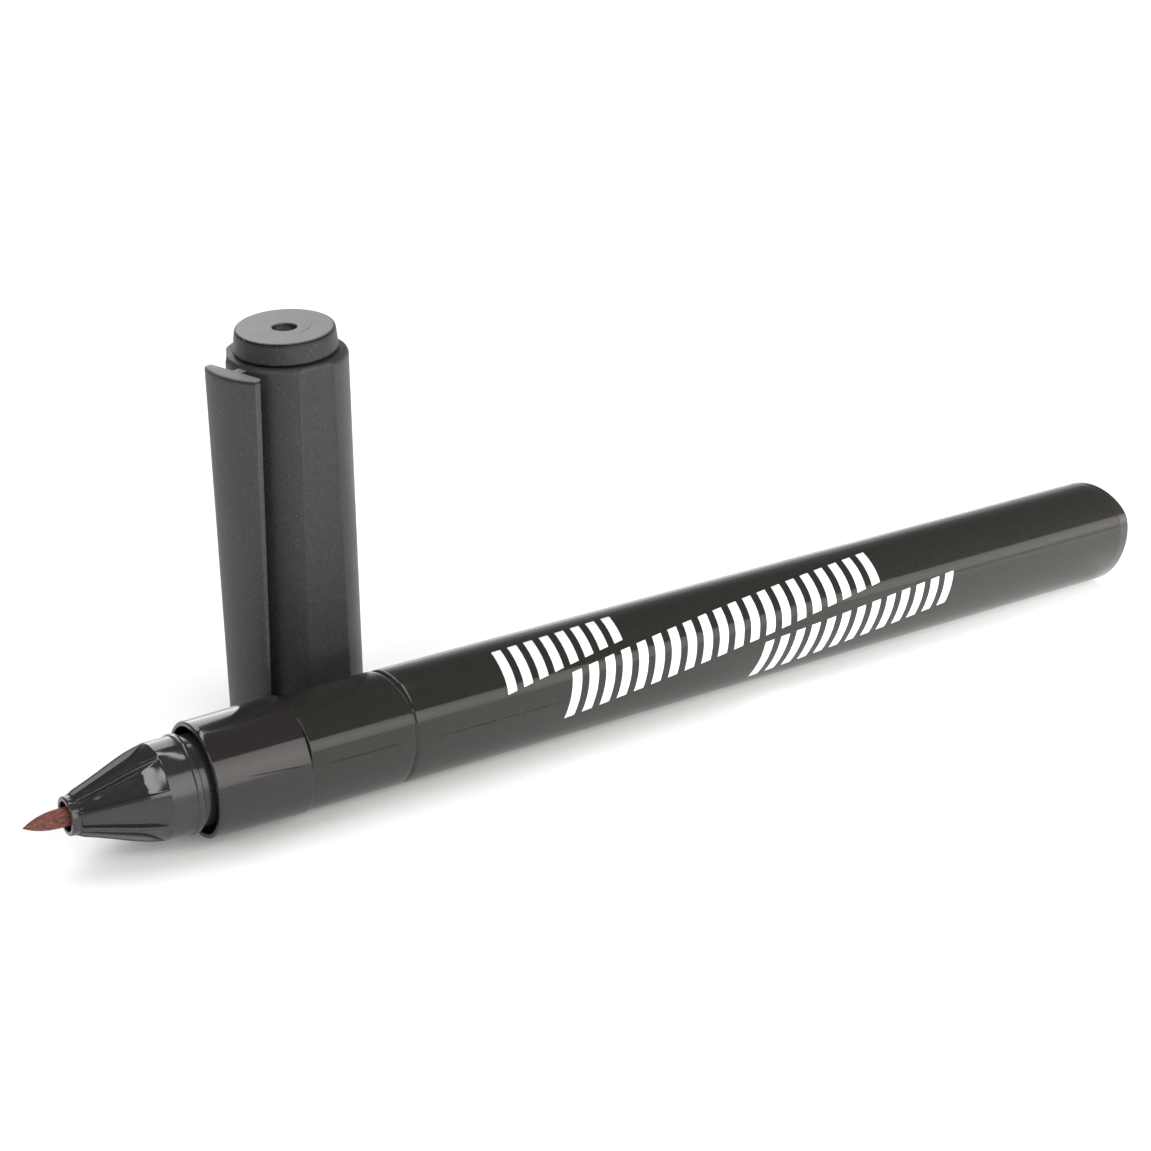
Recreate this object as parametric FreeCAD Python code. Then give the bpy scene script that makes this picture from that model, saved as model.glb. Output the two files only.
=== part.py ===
import FreeCAD, Part
import math
import os

# Fine-line felt tip marker lying on a table with its cap standing beside it, mouth down.
# Lengths are in millimetres. Every piece is first built about its own axis: the pen along +X with
# the front rim of its sleeve at x = 0 and the nib towards -X, the cap along +Z with its mouth at
# z = 0. The two groups are then placed in the common frame: table plane at z = 0, origin below the
# middle of the whole arrangement.

# ---- pen: driving dimensions ---------------------------------------------------------------------
NIB_TIP_X = -16.0          # tip of the nib
NIB_R = 0.88               # radius of the nib's rod
NIB_TAPER_X = -12.3        # where the rod starts to close towards the tip
NIB_TAIL_X = 20.0          # rear end of the nib, inside the reservoir

NOSE_X = -12.1             # front face of the nib holder's nose ring
NOSE_R = 1.78
NOSE_HOLE_R = 1.36
NOSE_HOLE_DEPTH = 1.3
NIB_BORE_R = 0.93
CREASE_X = -5.5            # where each valley turns up towards the collar
VALLEY_R0 = 1.60           # valley floor radius at the nose
VALLEY_R1 = 3.50           # valley floor radius at the crease
COLLAR_X = -3.85           # front edge of the collar
COLLAR_R = 4.42            # the round seat the cap slides onto
SNAP_X = -1.55             # snap ring, front edge
SNAP_R = 4.58
SNAP_W = 0.65
NECK_R = 4.25              # neck between the snap ring and the sleeve
RIB_COUNT = 8
RIB_W = 0.46
RIB_PHASE = 21.0           # degrees about the pen's axis
HOLDER_SPIGOT_R = 3.95
HOLDER_END_X = 8.4

SLEEVE_LEN = 9.05
SLEEVE_R_FRONT = 5.35
SLEEVE_R_REAR = 5.50
SLEEVE_LIP_R = 4.93        # inside of the thin front lip
SLEEVE_LIP_DEPTH = 2.3
SLEEVE_BORE_R = 3.97
SLEEVE_SPIGOT_R = 4.30
SLEEVE_SPIGOT_BORE_R = 3.30
SLEEVE_SPIGOT_END_X = 15.0

PEN_END_X = 104.8
BARREL_R = 5.378           # mean radius of the rounded triangle at its front end
BARREL_LOBE = 0.425        # how far the corners stand out of, and the flats lie in from, that radius
BARREL_TAPER = 0.978       # size of the rear end over the front end
BARREL_ROLL = 27.3         # degrees, direction of one corner about the pen's axis
BARREL_BORE_R = 4.33
RING_X = 19.6              # fine groove around the barrel
RING_W = 0.45
RING_DEPTH = 0.12
PLUG_LID = 1.3             # thickness of the end plug's lid, which closes the barrel
PLUG_ROUND = 0.45
PLUG_SPIGOT_R = 4.30
PLUG_SPIGOT_BORE_R = 3.60
PLUG_SPIGOT_LEN = 3.6

CORE_R = 4.00              # ink reservoir
CORE_X0 = 15.6
CORE_X1 = 98.6
WRAP_GAP = 0.03
WRAP_R = 4.22

# ---- cap: driving dimensions ---------------------------------------------------------------------
CAP_X = 18.6               # cap axis, measured in the pen's own frame
CAP_Y = 16.2
CAP_SHOULDER_Z = 37.55
CAP_R_MOUTH = 5.87
CAP_R_TOP = 5.74
CAP_EDGE_ROUND = 0.50
CAP_BEAD_R = 4.50          # bead inside the mouth that clicks over the snap ring
CAP_BEAD_Z = 0.7
CAP_SEAT_R = 4.45          # bore that slides over the collar
CAP_SEAT_Z0 = 1.75
CAP_SEAT_Z1 = 3.90
CAP_CAVITY_R = 4.72        # wider cavity behind the seat, and the groove for the snap ring
CAP_ROOF_Z = 35.2          # underside of the roof
CAP_STEM_HOLE_R = 2.60
FLAT_ANGLES = (-86.0, 34.0, 154.0)
FLAT_R_MOUTH = 5.41        # distance of the three flats from the axis
FLAT_R_TOP = 5.46

DISC_Z0 = 37.75            # top plug: lower edge of the visible disc
DISC_Z1 = 39.75
DISC_LONG_R = 5.02         # the disc is a slight oval: half its length and half its width on top
DISC_WIDE_R = 4.58
DISC_FLARE = 0.22          # how much larger it is at its lower edge, all round
DISC_ANGLE = 48.0          # direction of its length about the cap's axis
DISC_SHIFT = 0.10          # its middle lies off the axis in that direction
DISC_NECK_R = 4.30
STEM_R = 2.57
STEM_Z0 = 34.6
VENT_R = 0.55
VENT_FUNNEL_R = 1.17
VENT_FUNNEL_LOW_R = 0.90
VENT_FUNNEL_DEPTH = 0.9

SEAL_Z0 = 11.4             # inner seal: the lip that closes round the nose of the nib holder
SEAL_Z1 = 18.6
SEAL_TUBE_R = 3.00
SEAL_BORE_R = 1.82
SEAL_LEAD_IN = 0.35        # widening of its mouth
SEAL_FLANGE_R = 4.69
SEAL_FLANGE_T = 1.1

CLIP_ANGLE = 200.0         # degrees about the cap's axis
CLIP_Z0 = 2.0
CLIP_Z1 = 37.3
CLIP_INNER_END = 6.82      # distance of its flat inner face from the cap's axis, at its free end
CLIP_INNER_TOP = 6.50
CLIP_EDGE_OUT = 7.30       # distance of its long outer corners
CLIP_CROWN_OUT = 8.05      # distance of its crowned middle
CLIP_W_TOP = 6.36
CLIP_W_END = 5.20
WEB_T = 1.30               # short web that carries the clip
WEB_GAP = 0.06
WEB_Z0 = 29.0
PAD_R = 0.50               # small bead that touches paper or cloth, near the clip's free end
PAD_Z = 4.6

# ---- common frame --------------------------------------------------------------------------------
X_MID = 0.5 * (NIB_TIP_X + PEN_END_X)
Y_MID = 0.5 * (-SLEEVE_R_REAR + CAP_Y + CAP_R_MOUTH)
AXIS_Z = 5.80              # height of the pen's axis over the table
PEN_PLACE = FreeCAD.Vector(-X_MID, -Y_MID, AXIS_Z)
CAP_PLACE = FreeCAD.Vector(CAP_X - X_MID, CAP_Y - Y_MID, 0.0)

V = FreeCAD.Vector
XDIR = V(1, 0, 0)
ZDIR = V(0, 0, 1)


# ---- helpers -------------------------------------------------------------------------------------
def rod(x0, x1, r):
    """Round bar along the pen's axis."""
    return Part.makeCylinder(r, x1 - x0, V(x0, 0, 0), XDIR)


def turned(profile):
    """Solid of revolution about the pen's axis from (x, r) corners, closed along the axis."""
    pts = [V(x, r, 0) for x, r in profile]
    pts = [V(profile[0][0], 0, 0)] + pts + [V(profile[-1][0], 0, 0)]
    clean = [p for i, p in enumerate(pts) if i == 0 or p.distanceToPoint(pts[i - 1]) > 1e-6]
    face = Part.Face(Part.makePolygon(clean + [clean[0]]))
    return face.revolve(V(0, 0, 0), XDIR, 360)


def bar(z0, z1, r0, r1=None):
    """Round bar or cone along the cap's axis."""
    if r1 is None or abs(r1 - r0) < 1e-9:
        return Part.makeCylinder(r0, z1 - z0, V(0, 0, z0), ZDIR)
    return Part.makeCone(r0, r1, z1 - z0, V(0, 0, z0), ZDIR)


def triangle_wire(x, size, inset=0.0, count=48):
    """Rounded triangle in the plane at x, from its support radius in each direction."""
    pts = []
    for i in range(count):
        a = 2 * math.pi * i / count
        t = 3 * (a - math.radians(BARREL_ROLL))
        h = size * (BARREL_R + BARREL_LOBE * math.cos(t)) - inset
        dh = -3 * size * BARREL_LOBE * math.sin(t)
        pts.append(V(x, h * math.cos(a) - dh * math.sin(a), h * math.sin(a) + dh * math.cos(a)))
    curve = Part.BSplineCurve()
    curve.interpolate(Points=pts, PeriodicFlag=True)
    return Part.Wire([curve.toShape()])


def barrel_size(x):
    share = (x - SLEEVE_LEN) / (PEN_END_X - SLEEVE_LEN)
    return 1.0 + (BARREL_TAPER - 1.0) * share


def barrel_body(x0, x1, inset=0.0):
    """Length of the barrel's rounded triangle, drawn in on all sides by inset."""
    wires = [triangle_wire(x, barrel_size(x), inset) for x in (x0, x1)]
    return Part.makeLoft(wires, True, True)


def save(name, shape, place):
    shape = shape.copy()
    shape.translate(place)
    shape = shape.removeSplitter() if shape.ShapeType != "Compound" else shape
    if len(shape.Solids) == 1:
        shape = shape.Solids[0]
    shape.exportStep("parts/%s.step" % name)
    box = shape.BoundBox
    print("%-16s valid %s  solids %d  volume %8.1f mm3  x %.2f..%.2f  y %.2f..%.2f  z %.2f..%.2f" % (
        name, shape.isValid(), len(shape.Solids), shape.Volume,
        box.XMin, box.XMax, box.YMin, box.YMax, box.ZMin, box.ZMax))


# ---- pen pieces ----------------------------------------------------------------------------------
def nib():
    """Fibre rod with a bullet-shaped writing end."""
    profile = [(NIB_TIP_X, 0.0)]
    length = NIB_TAPER_X - NIB_TIP_X
    steps = 9
    for i in range(1, steps + 1):
        s = (i / steps) ** 1.5
        profile.append((NIB_TIP_X + length * s, NIB_R * (1 - (1 - s) ** 2.5)))
    profile += [(NIB_TAIL_X - 0.6, NIB_R), (NIB_TAIL_X, NIB_R - 0.35)]
    return turned(profile)


def rib_crest(x):
    """Radius of a rib's crest: straight from the nose, easing into the collar."""
    span = (x - NOSE_X) / (COLLAR_X - NOSE_X)
    ease = 0.22 * math.sin(math.pi * min(1.0, max(0.0, span)) ** 2.2)
    return NOSE_R + (COLLAR_R - NOSE_R) * span ** 1.06 + ease


def nib_holder():
    """Ribbed cone with a nose ring, the round collar for the cap, a snap ring and a rear spigot."""
    core = turned([
        (NOSE_X, NOSE_R - 0.12), (NOSE_X + 0.12, NOSE_R), (NOSE_X + 0.75, NOSE_R),
        (NOSE_X + 0.95, VALLEY_R0 + 0.02), (CREASE_X, VALLEY_R1), (COLLAR_X, COLLAR_R - 0.04),
        (COLLAR_X + 0.12, COLLAR_R), (SNAP_X, COLLAR_R), (SNAP_X + 0.12, SNAP_R),
        (SNAP_X + SNAP_W - 0.15, SNAP_R), (SNAP_X + SNAP_W, NECK_R), (SLEEVE_LIP_DEPTH, NECK_R),
        (SLEEVE_LIP_DEPTH, HOLDER_SPIGOT_R), (HOLDER_END_X, HOLDER_SPIGOT_R)])
    crest = [NOSE_X + 0.5 + (COLLAR_X + 0.5 - NOSE_X - 0.5) * i / 10 for i in range(11)]
    top = [V(x, 0, min(rib_crest(x), COLLAR_R - 0.02)) for x in crest]
    foot = [V(top[-1].x, 0, 1.2), V(top[0].x, 0, 1.2)]
    blade = Part.Face(Part.makePolygon(top + foot + [top[0]]))
    blade.translate(V(0, -RIB_W / 2, 0))
    blade = blade.extrude(V(0, RIB_W, 0))
    body = core
    for i in range(RIB_COUNT):
        rib = blade.copy()
        rib.rotate(V(0, 0, 0), XDIR, RIB_PHASE - 90.0 + 360.0 * i / RIB_COUNT)
        body = body.fuse(rib)
    body = body.cut(rod(NOSE_X - 1, NOSE_X + NOSE_HOLE_DEPTH, NOSE_HOLE_R))
    return body.cut(rod(NOSE_X - 1, HOLDER_END_X + 1, NIB_BORE_R))


def front_sleeve():
    """Round sleeve with a thin front lip and a spigot that enters the barrel."""
    body = turned([(0, SLEEVE_R_FRONT - 0.12), (0.12, SLEEVE_R_FRONT), (SLEEVE_LEN, SLEEVE_R_REAR),
                   (SLEEVE_LEN, SLEEVE_SPIGOT_R), (SLEEVE_SPIGOT_END_X, SLEEVE_SPIGOT_R)])
    body = body.cut(rod(-1, SLEEVE_LIP_DEPTH, SLEEVE_LIP_R))
    body = body.cut(rod(-1, HOLDER_END_X + 0.1, SLEEVE_BORE_R))
    return body.cut(rod(0, SLEEVE_SPIGOT_END_X + 1, SLEEVE_SPIGOT_BORE_R))


def barrel():
    """Hollow rounded-triangle tube with one fine groove around it."""
    end = PEN_END_X - PLUG_LID
    body = barrel_body(SLEEVE_LEN, end)
    band = barrel_body(RING_X - RING_W / 2, RING_X + RING_W / 2, -0.5)
    band = band.cut(barrel_body(RING_X - RING_W, RING_X + RING_W, RING_DEPTH))
    body = body.cut(band)
    return body.cut(rod(0, PEN_END_X + 1, BARREL_BORE_R))


def tail_plug():
    """Lid in the barrel's outline with a rounded rim, on a hollow spigot."""
    joint = PEN_END_X - PLUG_LID
    wires = [triangle_wire(joint, barrel_size(joint))]
    for i in range(6):
        a = math.pi / 2 * i / 5
        x = PEN_END_X - PLUG_ROUND * (1 - math.sin(a))
        wires.append(triangle_wire(x, barrel_size(x), PLUG_ROUND * (1 - math.cos(a))))
    lid = Part.makeLoft(wires, True, True)
    spigot = rod(joint - PLUG_SPIGOT_LEN, joint + 0.2, PLUG_SPIGOT_R)
    spigot = spigot.cut(rod(joint - PLUG_SPIGOT_LEN - 1, joint - 0.01, PLUG_SPIGOT_BORE_R))
    return lid.fuse(spigot)


def ink_reservoir():
    """Fibre rod that holds the ink, with a socket for the nib's rear end."""
    return rod(CORE_X0, CORE_X1, CORE_R).cut(rod(CORE_X0 - 1, NIB_TAIL_X + 0.3, NIB_R + 0.04))


def reservoir_wrap():
    """Thin film sleeve around the reservoir."""
    return rod(CORE_X0, CORE_X1, WRAP_R).cut(rod(CORE_X0 - 1, CORE_X1 + 1, CORE_R + WRAP_GAP))


# ---- cap pieces ----------------------------------------------------------------------------------
def cap_shell():
    """Slightly conical shell with three long flats, a stepped bore and a pierced roof."""
    body = bar(0, CAP_SHOULDER_Z, CAP_R_MOUTH, CAP_R_TOP)
    rim = [e for e in body.Edges if e.BoundBox.ZMin > CAP_SHOULDER_Z - 1e-3]
    body = body.makeFillet(CAP_EDGE_ROUND, rim)
    for angle in FLAT_ANGLES:
        side = [V(FLAT_R_MOUTH, 0, -1), V(9, 0, -1), V(9, 0, CAP_SHOULDER_Z + 1),
                V(FLAT_R_TOP, 0, CAP_SHOULDER_Z + 1)]
        block = Part.Face(Part.makePolygon(side + [side[0]]))
        block.translate(V(0, -6, 0))
        block = block.extrude(V(0, 12, 0))
        block.rotate(V(0, 0, 0), ZDIR, angle)
        body = body.cut(block)
    body = body.cut(bar(-1, CAP_ROOF_Z - 1, CAP_SEAT_R))
    body = body.cut(bar(-1, CAP_BEAD_Z, CAP_BEAD_R))
    body = body.cut(bar(CAP_BEAD_Z, CAP_SEAT_Z0, CAP_CAVITY_R))
    body = body.cut(bar(CAP_SEAT_Z1, CAP_ROOF_Z, CAP_CAVITY_R))
    return body.cut(bar(CAP_ROOF_Z - 1, CAP_SHOULDER_Z + 1, CAP_STEM_HOLE_R))


def oval_wire(z, wider):
    """Outline of the disc at height z, wider all round by the given amount."""
    oval = Part.Ellipse(V(DISC_SHIFT, 0, z), DISC_LONG_R + wider, DISC_WIDE_R + wider).toShape()
    oval.rotate(V(0, 0, 0), ZDIR, DISC_ANGLE)
    return Part.Wire([oval])


def cap_top_plug():
    """Flared disc on a stem, with a funnel-shaped vent hole right through it."""
    body = bar(STEM_Z0, CAP_SHOULDER_Z + 0.02, STEM_R)
    body = body.fuse(bar(CAP_SHOULDER_Z + 0.02, DISC_Z0, DISC_NECK_R))
    disc = Part.makeLoft([oval_wire(DISC_Z0, DISC_FLARE), oval_wire(DISC_Z1, 0.0)], True, True)
    rims = [e for e in disc.Edges if abs(e.BoundBox.ZMin - e.BoundBox.ZMax) < 1e-3]
    body = body.fuse(disc.makeFillet(0.18, rims))
    body = body.cut(bar(STEM_Z0 - 1, DISC_Z1 + 1, VENT_R))
    return body.cut(bar(DISC_Z1 - VENT_FUNNEL_DEPTH, DISC_Z1 + 0.01, VENT_FUNNEL_LOW_R,
                        VENT_FUNNEL_R))


def cap_seal():
    """Inner cup: a tube that closes round the nib holder's nose, on a flange held in the shell."""
    body = bar(SEAL_Z0, SEAL_Z1, SEAL_TUBE_R)
    body = body.fuse(bar(SEAL_Z1 - SEAL_FLANGE_T, SEAL_Z1, SEAL_FLANGE_R))
    body = body.cut(bar(SEAL_Z0 - 1, SEAL_Z1 - SEAL_FLANGE_T, SEAL_BORE_R))
    return body.cut(bar(SEAL_Z0 - 0.01, SEAL_Z0 + 0.5, SEAL_BORE_R + SEAL_LEAD_IN, SEAL_BORE_R))


def clip_section(z, width, inner):
    """Flat inner side, short square edges and a crowned outer side."""
    half = width / 2
    a, b = V(inner, -half, z), V(inner, half, z)
    c, d = V(CLIP_EDGE_OUT, half, z), V(CLIP_EDGE_OUT, -half, z)
    crown = V(CLIP_CROWN_OUT, 0, z)
    return Part.Wire([Part.makeLine(a, b), Part.makeLine(b, c),
                      Part.Arc(c, crown, d).toShape(), Part.makeLine(d, a)])


def cap_clip():
    """Pocket clip: crowned bar on a short web at the top of the cap, with a bead near its end."""
    body = Part.makeLoft([clip_section(CLIP_Z0, CLIP_W_END, CLIP_INNER_END),
                          clip_section(CLIP_Z1, CLIP_W_TOP, CLIP_INNER_TOP)], True, True)
    web = Part.makeBox(CLIP_INNER_TOP + 0.3, WEB_T, CLIP_Z1 - WEB_Z0, V(0, -WEB_T / 2, WEB_Z0))
    web = web.cut(bar(0, 60, CAP_R_MOUTH + WEB_GAP, CAP_R_MOUTH + WEB_GAP
                      + (CAP_R_TOP - CAP_R_MOUTH) * 60 / CAP_SHOULDER_Z))
    body = body.fuse(web)
    bead = Part.makeCylinder(PAD_R, CLIP_W_END * 0.55,
                             V(CLIP_INNER_END + 0.08, -CLIP_W_END * 0.275, PAD_Z), V(0, 1, 0))
    body = body.fuse(bead)
    body.rotate(V(0, 0, 0), ZDIR, CLIP_ANGLE)
    return body


PEN_PIECES = (nib, nib_holder, front_sleeve, barrel, tail_plug, ink_reservoir, reservoir_wrap)
CAP_PIECES = (cap_shell, cap_top_plug, cap_seal, cap_clip)

os.makedirs("parts", exist_ok=True)
for piece in PEN_PIECES:
    save(piece.__name__, piece(), PEN_PLACE)
for piece in CAP_PIECES:
    save(piece.__name__, piece(), CAP_PLACE)
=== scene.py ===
import math
import random

import bmesh
import bpy
from mathutils import Matrix, Vector


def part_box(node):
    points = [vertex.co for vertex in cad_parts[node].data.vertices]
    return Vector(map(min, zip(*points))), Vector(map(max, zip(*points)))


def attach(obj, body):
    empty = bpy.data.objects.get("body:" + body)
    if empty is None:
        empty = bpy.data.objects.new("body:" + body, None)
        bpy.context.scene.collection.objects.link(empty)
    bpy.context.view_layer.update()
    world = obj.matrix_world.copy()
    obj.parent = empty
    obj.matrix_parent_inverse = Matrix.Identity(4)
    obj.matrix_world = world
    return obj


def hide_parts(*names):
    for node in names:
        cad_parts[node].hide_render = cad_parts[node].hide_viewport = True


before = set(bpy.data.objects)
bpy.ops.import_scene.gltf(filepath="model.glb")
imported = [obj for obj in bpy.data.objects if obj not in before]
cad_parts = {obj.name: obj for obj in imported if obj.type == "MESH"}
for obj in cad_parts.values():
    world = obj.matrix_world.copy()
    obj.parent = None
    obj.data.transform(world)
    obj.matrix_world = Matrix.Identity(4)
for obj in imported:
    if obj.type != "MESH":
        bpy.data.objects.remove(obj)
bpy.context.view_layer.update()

# Felt tip marker on a table, with its cap standing beside it. Lengths are in millimetres, and
# become metres where points are placed. Pen pieces are drawn with x along the pen from the
# sleeve's front rim to the tail and angles about that axis, from +Y through +Z; cap pieces are
# drawn with z up from the cap's mouth and angles about the cap's axis, from +X through +Y.
MM = 0.001
SHARP = math.radians(32)     # faces that meet at a larger angle are shaded with an edge between


def middle(node):
    low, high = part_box(node)
    return (low + high) / 2


PEN_ORIGIN = Vector((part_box("front_sleeve")[0].x, middle("nib").y, middle("nib").z))
CAP_ORIGIN = Vector((middle("cap_seal").x, middle("cap_seal").y, 0.0))


def pen_reach(node):
    """Where a pen node starts and ends along the pen."""
    return [(corner.x - PEN_ORIGIN.x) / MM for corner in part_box(node)]


NIB_TIP_X, NIB_TAIL_X = pen_reach("nib")
NOSE_X, HOLDER_END_X = pen_reach("nib_holder")
SLEEVE_SPIGOT_END_X = pen_reach("front_sleeve")[1]
BARREL_X0, BARREL_X1 = pen_reach("barrel")
PEN_END_X = pen_reach("tail_plug")[1]
CAP_SHOULDER_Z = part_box("cap_shell")[1].z / MM
DISC_TOP_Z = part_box("cap_top_plug")[1].z / MM
CLIP_Z0, CLIP_Z1 = [corner.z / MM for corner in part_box("cap_clip")]


# ---- drawing helpers -----------------------------------------------------------------------------
def on_pen(x, radius, angle):
    """Place of a point given along the pen, from its axis, and round it in radians."""
    return PEN_ORIGIN + MM * Vector((x, radius * math.cos(angle), radius * math.sin(angle)))


def on_cap(z, radius, angle):
    """Place of a point given by its height, its distance from the cap's axis, and round it."""
    return CAP_ORIGIN + MM * Vector((radius * math.cos(angle), radius * math.sin(angle), z))


def off_cap(z, out, side, direction):
    """Place given by its distance from the cap's axis in a direction, and sideways from that."""
    return on_cap(z, math.hypot(out, side), direction + math.atan2(side, out))


def turns(steps):
    """Equal steps once round, in radians."""
    return [2 * math.pi * i / steps for i in range(steps)]


def onward(start, end, count):
    """Even steps from start to end, without start itself."""
    return [start + (end - start) * i / count for i in range(1, count + 1)]


def rounding(along, across, radius, start, stop, count=5):
    """Points of a fillet about a centre, as (along, across), between two angles in degrees."""
    angles = [math.radians(start + (stop - start) * i / (count - 1)) for i in range(count)]
    return [(along + radius * math.cos(a), across + radius * math.sin(a)) for a in angles]


def rolled_edge(end, radius, count):
    """Points of a rounded edge as (along, inset), from where the side starts to turn to its end."""
    angles = [math.radians(90 * i / (count - 1)) for i in range(count)]
    return [(end - radius * (1 - math.sin(a)), radius * (1 - math.cos(a))) for a in angles]


def blend_step(value, low, high):
    """0 below low, 1 above high, smooth between."""
    share = min(1.0, max(0.0, (value - low) / (high - low)))
    return share * share * (3 - 2 * share)


def skin(bm, rings, loop=False, ends=(False, False)):
    """Faces between neighbouring rings of points. ends closes the first and last with a point."""
    rows = [[bm.verts.new(p) for p in ring] for ring in rings]
    count = len(rows[0])
    pairs = list(zip(rows, rows[1:])) + ([(rows[-1], rows[0])] if loop else [])
    for low, high in pairs:
        for i in range(count):
            j = (i + 1) % count
            bm.faces.new((low[i], low[j], high[j], high[i]))
    for wanted, row in zip(ends, (rows[0], rows[-1])):
        if wanted:
            centre = bm.verts.new(sum((v.co for v in row), Vector()) / count)
            for i in range(count):
                bm.faces.new((row[i], row[(i + 1) % count], centre))


def turned_rings(profile, place, steps):
    """Rings of a turned shape from (along, radius) points, placed by on_pen or on_cap."""
    return [[place(along, radius, a) for a in turns(steps)] for along, radius in profile]


def finish_piece(name, bm, material, body, nodes=()):
    """Makes an object of the faces drawn so far, which rides on a body and may replace nodes."""
    bmesh.ops.recalc_face_normals(bm, faces=bm.faces)
    mesh = bpy.data.meshes.new(name)
    bm.to_mesh(mesh)
    bm.free()
    mesh.shade_smooth()
    mesh.set_sharp_from_angle(angle=SHARP)
    mesh.materials.append(material)
    piece = bpy.data.objects.new(name, mesh)
    bpy.context.collection.objects.link(piece)
    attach(piece, body)
    if nodes:
        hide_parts(*nodes)


# ---- materials -----------------------------------------------------------------------------------
PLASTIC_IOR = 1.5
DUST_TONE = (0.30, 0.29, 0.28)
# Tone of the painted glints on the disc's shaded edge.
PAINTED_GLINT_TONE = (0.35, 0.35, 0.34)
GRAIN_TONE = (0.20, 0.20, 0.195)
# Tone of the painted shade in the line under a top edge.
PAINTED_SHADE_TONE = (0.006, 0.006, 0.006)


class Recipe:
    """A node material with object coordinates in millimetres and one Principled shader."""

    def __init__(self, name, roughness, specular=0.5):
        self.material = bpy.data.materials.new(name)
        self.material.use_nodes = True
        self.nodes = self.material.node_tree.nodes
        self.links = self.material.node_tree.links
        self.shader = self.nodes["Principled BSDF"]
        self.shader.inputs["Roughness"].default_value = roughness
        self.shader.inputs["Specular IOR Level"].default_value = specular
        self.shader.inputs["IOR"].default_value = PLASTIC_IOR
        self.bump_from = None

    def add(self, kind, **inputs):
        """A new node whose inputs take values or links; spaces in their names are underscores."""
        node = self.nodes.new(kind)
        for key, value in inputs.items():
            socket = key.replace("_", " ")
            if hasattr(value, "is_output"):
                self.links.new(value, node.inputs[socket])
            else:
                node.inputs[socket].default_value = value
        return node

    def place(self, scale=(1, 1, 1)):
        """Object coordinates in millimetres times scale. A low value draws a pattern out that way."""
        coords = self.nodes.new("ShaderNodeTexCoord").outputs["Object"]
        mapping = self.nodes.new("ShaderNodeMapping")
        mapping.inputs["Scale"].default_value = [s / MM for s in scale]
        self.links.new(coords, mapping.inputs["Vector"])
        return mapping.outputs["Vector"]

    def noise(self, vector, size, detail=3.0, rough=0.55):
        """Noise whose features are about size millimetres across."""
        node = self.add("ShaderNodeTexNoise", Vector=vector, Scale=1.0 / size, Detail=detail,
                        Roughness=rough)
        return node.outputs["Fac"]

    def specks(self, vector, spacing, radius, share):
        """1 inside small round specks, and 0 elsewhere; share of the cells hold one."""
        cells = self.add("ShaderNodeTexVoronoi", Vector=vector, Scale=1.0 / spacing)
        outer_edge, inner_edge = radius / spacing, 0.6 * radius / spacing
        inside = self.span(cells.outputs["Distance"], outer_edge, inner_edge, 0, 1)
        lucky = self.nodes.new("ShaderNodeSeparateColor")
        self.links.new(cells.outputs["Color"], lucky.inputs["Color"])
        chosen = self.math("LESS_THAN", lucky.outputs["Red"], share)
        return self.math("MULTIPLY", inside, chosen)

    def span(self, value, from_low, from_high, to_low, to_high):
        node = self.add("ShaderNodeMapRange", Value=value, From_Min=from_low, From_Max=from_high,
                        To_Min=to_low, To_Max=to_high)
        return node.outputs["Result"]

    def math(self, operation, first, second=0.0):
        node = self.nodes.new("ShaderNodeMath")
        node.operation = operation
        for socket, value in zip(node.inputs, (first, second)):
            if hasattr(value, "is_output"):
                self.links.new(value, socket)
            else:
                socket.default_value = value
        return node.outputs["Value"]

    def mix(self, share, first, second):
        """Colour between two colours, each a tuple or another node's output."""
        node = self.nodes.new("ShaderNodeMix")
        node.data_type = "RGBA"
        colour_in = [s for s in node.inputs if s.type == "RGBA"]
        for socket, value in zip([node.inputs["Factor"]] + colour_in, (share, first, second)):
            if hasattr(value, "is_output"):
                self.links.new(value, socket)
            else:
                socket.default_value = (*value, 1.0) if isinstance(value, tuple) else value
        return [s for s in node.outputs if s.type == "RGBA"][0]

    def vary(self, share, tone, spread):
        """A tone that goes from darker to lighter by spread, a part of itself, as share rises."""
        darker, lighter = (tuple(k * c for c in tone) for k in (1 - spread, 1 + spread))
        return self.mix(share, darker, lighter)

    def colour(self, output):
        self.links.new(output, self.shader.inputs["Base Color"])

    def rough(self, output):
        self.links.new(output, self.shader.inputs["Roughness"])

    def bump(self, height, depth_mm):
        """Adds relief: height 0 to 1 stands for depth_mm."""
        node = self.add("ShaderNodeBump", Height=height, Distance=depth_mm * MM, Strength=1.0)
        if self.bump_from is not None:
            self.links.new(self.bump_from, node.inputs["Normal"])
        self.bump_from = node.outputs["Normal"]
        self.links.new(self.bump_from, self.shader.inputs["Normal"])


def gloss_black(name, tone, roughness, dust, ripple, specular=0.6):
    """Polished dark moulding with faint mottling. dust is the share of cells that hold a speck, and
    ripple the depth in millimetres of the waves that its reflections show."""
    r = Recipe(name, roughness, specular=specular)
    fine = r.noise(r.place(), 0.5, detail=4)
    broad = r.noise(r.place((0.3, 1, 1)), 3.0, detail=2)
    speck = r.specks(r.place(), 1.1, 0.05, dust)
    r.colour(r.mix(speck, r.vary(fine, tone, 0.25), DUST_TONE))
    smear = r.span(broad, 0.35, 0.7, 0.8 * roughness, 1.5 * roughness)
    r.rough(r.math("ADD", smear, r.math("MULTIPLY", speck, 0.4)))
    r.bump(broad, ripple)
    r.bump(fine, 0.0008)
    return r.material


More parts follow.
